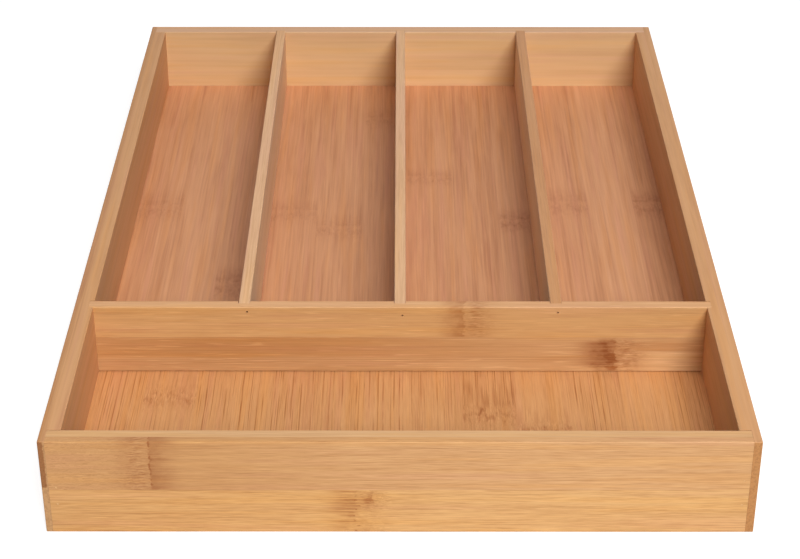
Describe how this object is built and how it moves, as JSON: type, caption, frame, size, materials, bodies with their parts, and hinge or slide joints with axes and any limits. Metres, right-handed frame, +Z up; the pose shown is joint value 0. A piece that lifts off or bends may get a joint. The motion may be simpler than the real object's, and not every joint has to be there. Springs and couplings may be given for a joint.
{
  "type": "cutlery tray",
  "caption": "Shallow open bamboo tray for a kitchen drawer, with a wide compartment across the front and long ones behind it between thin dividers.",
  "frame": {"origin": "middle of the rectangle that the tray stands on, at the level of its lower edge", "axes": "+X to the right seen from the front, +Y from the front compartment to the back board, +Z up"},
  "size_m": [0.31, 0.45, 0.048],
  "materials": {
    "side_bamboo": "satin lacquered bamboo, grain along the board",
    "end_bamboo": "satin lacquered bamboo, grain along the board",
    "cross_bamboo": "satin lacquered bamboo, grain along the board",
    "long_bamboo": "satin lacquered bamboo, grain along the board",
    "base_bamboo": "satin lacquered bamboo panel, grain from front to back",
    "pin_steel": "plain steel wire"
  },
  "bodies": {
    "root": {"left_side_board": "side_bamboo", "right_side_board": "side_bamboo", "front_board": "end_bamboo", "back_board": "end_bamboo", "base_panel": "base_bamboo", "cross_divider": "cross_bamboo", "left_long_divider": "long_bamboo", "middle_long_divider": "long_bamboo", "right_long_divider": "long_bamboo", "front_left_lower_pin": "pin_steel", "front_left_upper_pin": "pin_steel", "front_right_lower_pin": "pin_steel", "front_right_upper_pin": "pin_steel", "back_left_lower_pin": "pin_steel", "back_left_upper_pin": "pin_steel", "back_right_lower_pin": "pin_steel", "back_right_upper_pin": "pin_steel", "cross_left_lower_pin": "pin_steel", "cross_left_upper_pin": "pin_steel", "cross_right_lower_pin": "pin_steel", "cross_right_upper_pin": "pin_steel", "left_long_front_pin": "pin_steel", "left_long_back_pin": "pin_steel", "middle_long_front_pin": "pin_steel", "middle_long_back_pin": "pin_steel", "right_long_front_pin": "pin_steel", "right_long_back_pin": "pin_steel"}
  },
  "joints": []
}
